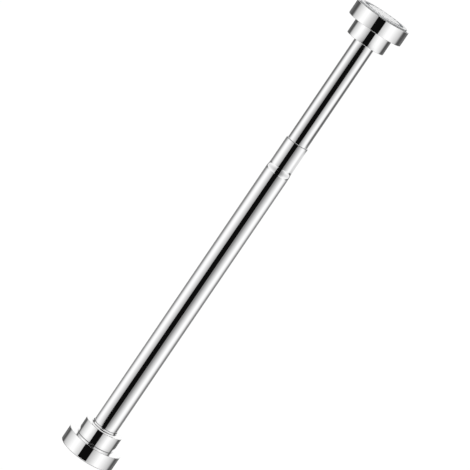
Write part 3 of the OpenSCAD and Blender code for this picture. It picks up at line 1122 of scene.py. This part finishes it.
@dataclass
class Spring:
    """The compression spring, one wire with closed end turns."""

    start: float
    end: float
    coil_r: float
    wire_r: float = 0.9 * MM
    wire_sides: int = 12
    sharp_from: float = 60.0
    turns: int = 13
    rings: int = 32
    end_gap: float = 0.5 * MM
    travel: float = 25.0 * MM

    def build(self) -> None:
        """Builds the spring, dresses it and gives it a mesh of its own."""
        spring = self.coil()
        smooth(spring.data, self.sharp_from)
        dress(spring, OILED_SPRING, Body.SPINDLE)
        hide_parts("compression_spring")
        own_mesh(spring)

    def coil(self) -> Object:
        """Winds the wire, with a closer pitch in the first and the last turn.

        Returns:
            The spring.
        """
        end_pitch = 2 * self.wire_r + self.end_gap
        run = self.end - self.start - 2 * end_pitch
        sizes = {
            "Turns": self.turns,
            "Rings in a turn": self.rings,
            "Coil radius": self.coil_r,
            "Wire radius": self.wire_r,
            "Start": self.start,
            "End pitch": end_pitch,
            "Pitch": run / (self.turns - 2),
            "Material": OILED_SPRING.material(),
        }
        tree = GeometryTree("coil_spring", sizes)
        graph, turns, rings = tree.graph, tree.size("Turns"), tree.size("Rings in a turn")
        line = graph.result("GeometryNodeMeshLine", "Mesh", {"Count": turns * rings + 1.0})
        turn = graph.result("GeometryNodeInputIndex") / rings
        inner_turns = turn.least(turns - 1.0) - 1.0
        tail = (turn - (turns - 1.0)).most(0.0)
        ends = tree.size("End pitch") * (turn.least(1.0) + tail)
        angle = turn * math.tau
        place = {
            "X": tree.size("Start") + ends + tree.size("Pitch") * inner_turns.most(0.0),
            "Y": graph.math("COSINE", angle) * tree.size("Coil radius"),
            "Z": graph.math("SINE", angle) * tree.size("Coil radius"),
        }
        bent = {
            "Geometry": line,
            "Position": graph.result("ShaderNodeCombineXYZ", "Vector", place),
        }
        path = {"Mesh": graph.result("GeometryNodeSetPosition", "Geometry", bent)}
        wire = {"Resolution": self.wire_sides, "Radius": tree.size("Wire radius")}
        profile = graph.result("GeometryNodeCurvePrimitiveCircle", "Curve", wire)
        swept = {
            "Curve": graph.result("GeometryNodeMeshToCurve", "Curve", path),
            "Profile Curve": profile,
            "Fill Caps": True,
        }
        coil = graph.result("GeometryNodeCurveToMesh", "Mesh", swept)
        return tree.grow("coil_spring", coil)


@dataclass(frozen=True)
class Bay:
    """Light on one side of the black flag, by degrees round the rod.

    It rises evenly to white, dims a little, and drops at the white wall's edge.

    Args:
        near: Level beside the flag.
        rise_from: Where the level starts to rise.
        white_from: Where it is white.
        dim_from: Where it starts to dim.
        edge: Middle of the wall's edge.
        edge_soft: Half width of the edge.
        edge_level: Level at the edge.
        dark: Level of the room behind the edge.
    """

    near: float
    rise_from: float
    white_from: float
    dim_from: float
    edge: float
    edge_soft: float
    edge_level: float
    dark: float

    def level(self, angle: Signal) -> Signal:
        """Gives the light at an angle.

        Args:
            angle: Degrees from the flag's middle, without a sign.

        Returns:
            The level, as linear light.
        """
        rise = angle.ramp(self.rise_from, self.white_from) * (1.0 - self.near) + self.near
        dim = 1.0 - angle.ramp(self.dim_from, self.edge) * (1.0 - self.edge_level)
        return (rise * dim).towards(self.dark, angle.past(self.edge, self.edge_soft))


@dataclass(frozen=True)
class Stretch:
    """What one stretch of the rod sees: a black flag with a bay of light on each side.

    Args:
        begins: Where it takes over from the stretch before it, by the direction's X.
        flag_half: The flag's half width, in degrees.
        lean: Degrees that the flag turns for each unit of the direction's X.
        square_at: X at which the flag is straight behind the camera.
        above: The bay above it.
        below: The bay below it.
    """

    begins: Fade
    flag_half: float
    lean: float
    square_at: float
    above: Bay
    below: Bay

    def tone(self, angle: Signal, along: Signal) -> Signal:
        """Gives the tone that metal sees.

        Args:
            angle: Degrees round the rod, positive above the camera.
            along: X of the direction.

        Returns:
            The tone, as linear light.
        """
        turned = angle - (along - self.square_at) * self.lean
        apart = turned.size()
        lit = self.below.level(apart).towards(self.above.level(apart), turned > 0.0)
        return (lit * apart.past(self.flag_half, FLAG_SOFT)).most(FLAG_LEVEL)


NEAR_FOOT = Stretch(
    begins=(-0.262, -0.262),
    flag_half=19.0,
    lean=-55.0,
    square_at=-0.155,
    above=Bay(0.58, 18.0, 48.0, 62.0, 115.0, 8.0, 0.45, 0.08),
    below=Bay(0.46, 20.0, 57.0, 68.0, 126.0, 9.0, 0.42, 0.08),
)
OUTER_STRETCH = Stretch(
    begins=(-0.2535, -0.2515),
    flag_half=21.5,
    lean=-104.0,
    square_at=-0.146,
    above=Bay(0.35, 20.0, 68.0, 80.0, 112.0, 22.0, 0.8, 0.2),
    below=Bay(0.24, 30.0, 80.0, 90.0, 122.0, 22.0, 0.85, 0.15),
)
INNER_STRETCH = Stretch(
    begins=(-0.1445, -0.1415),
    flag_half=24.0,
    lean=-104.0,
    square_at=-0.146,
    above=Bay(0.22, 23.0, 73.0, 80.0, 112.0, 20.0, 0.75, 0.13),
    below=Bay(0.3, 23.0, 70.0, 76.0, 102.0, 12.0, 0.85, 0.12),
)
FAR_FOOT = Stretch(
    begins=(-0.1055, -0.104),
    flag_half=17.0,
    lean=-55.0,
    square_at=-0.155,
    above=Bay(0.42, 20.0, 57.0, 70.0, 116.0, 8.0, 0.48, 0.08),
    below=Bay(0.58, 18.0, 45.0, 62.0, 109.0, 8.0, 0.48, 0.08),
)
SHOULDER = Stretch(
    begins=(-0.09, -0.075),
    flag_half=21.5,
    lean=0.0,
    square_at=0.0,
    above=Bay(0.7, 22.0, 60.0, 90.0, 130.0, 22.0, 0.8, 0.9),
    below=Bay(0.38, 28.0, 66.0, 90.0, 130.0, 22.0, 0.85, 0.9),
)


@dataclass(frozen=True)
class Room:
    """The rest of what metal sees: levels, and where each stands by X or by degrees.

    The X of a direction says which part of the rod looks there, because the tubes, the feet
    and the sloped faces each send the camera's view to an X of their own.
    """

    white: float = 1.08
    rod_x: Fade = (NEAR_FOOT.begins[0], SHOULDER.begins[0])
    slopes_end: Fade = (0.235, 0.25)
    slope_shade: Fade = (-0.09, 0.12)
    slope_dim: float = 0.34
    back: Fade = (128.0, 152.0)
    back_level: float = 0.3
    back_feet_dim: float = 0.13
    back_glow: float = 1.05
    back_glow_x: Fade = (-0.08, -0.03)
    card: float = 0.75
    card_x: tuple[Fade, Fade] = ((-0.155, -0.151), (-0.1455, -0.1435))
    card_below: Fade = (95.0, 115.0)
    pole: Fade = (140.0, 165.0)
    pole_low: float = 0.05
    pole_rise: float = 0.85
    pole_x: Fade = (0.45, 0.55)
    cone_glow: float = 1.0
    cone_x: Fade = (0.125, 0.135)
    end_x: Fade = (0.274, 0.282)
    end_rise: Fade = (15.0, 70.0)
    end_low: float = 0.72
    end_gain: float = 0.25
    end_dark: float = 0.04
    end_dark_from: Fade = (100.0, 118.0)
    wedge_x: Fade = (0.3, 0.4)
    wedge_middle: float = 5.9
    wedge_soft: Fade = (-1.0, 1.0)
    strip: float = 0.06
    strip_x: tuple[Fade, Fade] = ((-0.2534, -0.253), (-0.2518, -0.2514))
    strip_from: Fade = (125.0, 150.0)

    def tone(self, angle: Signal, x: Signal) -> Signal:
        """Gives the tone that metal sees in a direction.

        Args:
            angle: Degrees round the rod, positive above the camera.
            x: X of the direction.

        Returns:
            The tone, as linear light.
        """
        apart = angle.size()
        side = 0.0 - x.size()
        along = side.most(self.rod_x[0]).least(self.rod_x[1])
        lit = NEAR_FOOT.tone(angle, along)
        for stretch in (OUTER_STRETCH, INNER_STRETCH, FAR_FOOT):
            lit = lit.towards(stretch.tone(angle, along), side.between(*stretch.begins))
        middle = 1.0 - x.between(*self.slopes_end)
        slope = x.between(*SHOULDER.begins) * middle
        lit = lit.towards(SHOULDER.tone(angle, along), slope)
        lit = lit * (1.0 - x.between(*self.slope_shade) * middle * self.slope_dim)
        feet = 1.0 - side.between(*OUTER_STRETCH.begins) + side.between(*FAR_FOOT.begins)
        back_wall = self.back_level - feet * self.back_feet_dim
        back_wall = back_wall.towards(self.back_glow, x.between(*self.back_glow_x))
        lit = (lit * self.white).towards(back_wall, apart.between(*self.back))
        card = x.within(*self.card_x) * (0.0 - angle).between(*self.card_below)
        lit = self._mouth_tone(lit.towards(self.card, card), angle, x)
        pole = apart.between(*self.pole) * self.pole_rise + self.pole_low
        return lit.towards(pole, x.between(*self.pole_x))

    def _mouth_tone(self, lit: Signal, angle: Signal, x: Signal) -> Signal:
        """Adds what only the mouth ring sees, past both ends of the rod.

        Args:
            lit: The tone so far.
            angle: Degrees round the rod, positive above the camera.
            x: X of the direction.

        Returns:
            The tone with the white end walls, dark at their sides.
        """
        lit = lit.towards(self.cone_glow, x.within(self.cone_x, self.slopes_end))
        apart = angle.size()
        depth = x.size()
        end_wall = depth.between(*self.end_x)
        wedge = (1.0 - depth.ramp(*self.wedge_x)) * NEAR_FOOT.flag_half
        beside = ((angle - self.wedge_middle).size() - wedge).between(*self.wedge_soft)
        white = apart.ramp(*self.end_rise) * self.end_gain + self.end_low
        lit = lit.towards(white, end_wall * beside)
        lit = lit.towards(self.end_dark, end_wall * apart.between(*self.end_dark_from))
        strip = x.within(*self.strip_x) * apart.between(*self.strip_from)
        return lit.towards(self.strip, strip)


@dataclass
class Studio:
    """Camera, stage and light: a white room with bays of light along the rod."""

    aim_x: float = 0.2605
    distance: float = 2.924
    tilt: float = 0.1798
    roll: float = 0.97503
    elevation: float = math.radians(14.0)
    focal_px: float = 3074.6
    frame_px: float = 470.0
    sensor_w: float = 36.0
    floor_z: float = -1.0
    floor_half: float = 14.0
    floor_glow: float = 0.9
    floor_matt: float = 0.8
    floor_seen: float = 0.13
    diffuse_level: float = 0.95
    lamp_at: Triple = (0.9, -0.6, 1.5)
    lamp_size: tuple[float, float] = (1.4, 0.9)
    lamp_watts: float = 9.0

    def build(self) -> None:
        """Builds the camera, the world, the floor and the key lamp."""
        self.camera()
        self.world()
        self.floor()
        self.key_lamp()

    def _turned(self, *vector: float) -> Vector:
        """Lifts a vector from the level camera position to its elevation."""
        return Matrix.Rotation(-self.elevation, 3, "X") @ Vector(vector)

    def camera(self) -> None:
        """Places the camera at the photograph's viewing angle."""
        s, c = math.sin(self.tilt), math.cos(self.tilt)
        back = self._turned(s, -c, 0.0)
        right = self._turned(c, s, 0.0)
        up = self._turned(0.0, 0.0, 1.0)
        cr, sr = math.cos(self.roll), math.sin(self.roll)
        data = bpy.data.cameras.new("camera")
        data.sensor_width = self.sensor_w
        data.lens = self.sensor_w * self.focal_px / self.frame_px
        camera = into_scene("camera", data)
        turn = Matrix((right * cr - up * sr, right * sr + up * cr, back)).transposed()
        place = Vector((self.aim_x, 0.0, 0.0)) + back * self.distance
        camera.matrix_world = Matrix.Translation(place) @ turn.to_4x4()
        bpy.context.scene.camera = camera
        LOG.info("camera %.2f m from the rod", self.distance)

    def tone(self, direction: Signal) -> Signal:
        """Gives the tone that metal sees in a direction.

        Args:
            direction: The direction from the rod.

        Returns:
            The tone, as linear light.
        """
        forth = direction.dot(self._turned(0.0, -1.0, 0.0))
        across = direction.dot(self._turned(0.0, 0.0, 1.0))
        angle = direction.graph.math("ARCTAN2", across, forth) * math.degrees(1.0)
        return Room().tone(angle, direction.dot((1.0, 0.0, 0.0)))

    def world(self) -> None:
        """Builds the world: white for the camera, bays for metal, soft light else."""
        world = bpy.data.worlds.new("studio")
        world.cycles.sampling_method = "NONE"
        bpy.context.scene.world = world
        graph = Graph.of(world)
        direction = graph.result("ShaderNodeTexCoord", "Generated")
        rays = graph.node("ShaderNodeLightPath")
        level = (self.diffuse_level,) * 3
        glossy = graph.signal(rays, "Is Glossy Ray")
        soft = glossy.mixed((*level, 1.0), self.tone(direction))
        clear = graph.signal(rays, "Is Transmission Ray")
        seen = graph.signal(rays, "Is Camera Ray").most(clear).mixed(soft, (1.0,) * 4)
        light = graph.result("ShaderNodeBackground", 0, {"Color": seen})
        graph.node("ShaderNodeOutputWorld", {"Surface": light})

    def floor(self) -> None:
        """Builds the plain floor, which keeps the rod's shadow."""
        h, z = self.floor_half, self.floor_z
        mesh = bpy.data.meshes.new("floor")
        corners = [(-h, -h, z), (h, -h, z), (h, h, z), (-h, h, z)]
        mesh.from_pydata(corners, [], [(0, 1, 2, 3)])
        mesh.materials.append(self._floor_paint())
        floor = into_scene("floor", mesh)
        floor.visible_glossy = False

    def _floor_paint(self) -> Material:
        """Builds the floor's paint.

        Returns:
            White for the camera, with the shadow kept.
        """
        paint = bpy.data.materials.new("floor_paint")
        graph = Graph.of(paint)
        rays = graph.node("ShaderNodeLightPath")
        clear = graph.signal(rays, "Is Transmission Ray")
        seen = graph.signal(rays, "Is Camera Ray").most(clear)
        glow = {"Color": (*(self.floor_glow,) * 3, 1.0), "Strength": seen}
        matt, dim = ((*(level,) * 3, 1.0) for level in (self.floor_matt, self.floor_seen))
        both = {
            0: graph.result("ShaderNodeEmission", 0, glow),
            1: graph.result("ShaderNodeBsdfDiffuse", 0, {"Color": seen.mixed(matt, dim)}),
        }
        surface = graph.result("ShaderNodeAddShader", 0, both)
        graph.node("ShaderNodeOutputMaterial", {"Surface": surface})
        return paint

    def key_lamp(self) -> None:
        """Hangs a large soft lamp above the rod, for the matt pieces and the shadow."""
        data = bpy.data.lights.new("key_lamp", "AREA")
        data.shape = "RECTANGLE"
        data.size, data.size_y = self.lamp_size
        data.energy = self.lamp_watts
        lamp = into_scene("key_lamp", data)
        place = Vector(self.lamp_at)
        turn = (Vector((self.aim_x, 0.0, 0.0)) - place).to_track_quat("-Z", "Y")
        lamp.matrix_world = Matrix.Translation(place) @ turn.to_matrix().to_4x4()
        lamp.visible_glossy = False


class InnerWorks:
    """The parts inside the rod, which keep their CAD shape in a better finish."""

    FINISHES = {
        DARK_MOULDING: (
            "outer_flange_core",
            "inner_flange_core",
            "outer_end_plug",
            "inner_end_plug",
        ),
        NATURAL_NYLON: (
            "outer_thrust_washer",
            "inner_thrust_washer",
            "expander_sleeve",
            "guide_plug",
            "spring_stop_plug",
        ),
        GREY_ACETAL: ("wedge_nut",),
        ZINC_PLATE: (
            "outer_swivel_screw",
            "inner_swivel_screw",
            "lock_spindle",
            "spring_seat_washer",
        ),
        OILED_SPRING: ("wedge_stop_clip", "spindle_end_clip"),
    }

    @classmethod
    def refinish(cls, nodes: dict[str, Object]) -> None:
        """Gives each part its finish.

        Args:
            nodes: The CAD nodes by name.
        """
        for finish, names in cls.FINISHES.items():
            for node in (nodes[name] for name in names):
                if not node.material_slots:
                    node.data.materials.append(None)
                for slot in node.material_slots:
                    slot.material = finish.material()
                LOG.info("%s keeps its shape, in %s", node.name, finish.name)


class ClosetRod:
    """The whole rod, with its sizes read from the frame."""

    def __init__(self, frame: dict[str, Any]) -> None:
        """Reads the sizes that the frame holds.
        """
        self.nodes = frame["nodes"]
        cover_low, cover_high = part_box("outer_flange_cover")
        pad_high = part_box("outer_grip_pad")[1]
        outer_low, outer_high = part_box("outer_tube")
        inner_low, inner_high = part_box("inner_tube")
        self.outer_tube = OuterTube(outer_low.x, outer_high.x, outer_high.z, inner_high.z)
        self.inner_tube = InnerTube(inner_low.x, inner_high.x, inner_high.z)
        shared = {
            "disc_r": cover_high.z,
            "foot_h": cover_high.x,
            "pad_proud": cover_low.x,
            "pad_r": pad_high.z,
            "pad_back": pad_high.x,
        }
        rod_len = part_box("inner_grip_pad")[1].x
        near = ("outer", Body.OUTER_FOOT, 0.0, 1.0)
        far = ("inner", Body.INNER_FOOT, rod_len, -1.0)
        self.outer_foot = Foot(*near, tube_r=outer_high.z, **shared)
        self.inner_foot = Foot(*far, tube_r=inner_high.z, **shared)
        low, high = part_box("compression_spring")
        wire_r = Spring.wire_r
        self.spring = Spring(low.x + wire_r, high.x - wire_r, high.z - wire_r)

    def build(self) -> None:
        """Builds and dresses every piece."""
        for part in (self.outer_tube, self.inner_tube, self.outer_foot, self.inner_foot):
            part.build()
        Mouth(self.outer_foot).entry_ring()
        Mouth(self.inner_foot).reducing_bush()
        self.spring.build()
        InnerWorks.refinish(self.nodes)


def main() -> None:
    """Loads the frame and builds the studio and the rod."""
    logging.basicConfig(level=logging.INFO, format="%(message)s")
    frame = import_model()
    bpy.context.scene.view_settings.view_transform = "Standard"
    Studio().build()
    ClosetRod(frame).build()


if __name__ == "__main__":
    main()
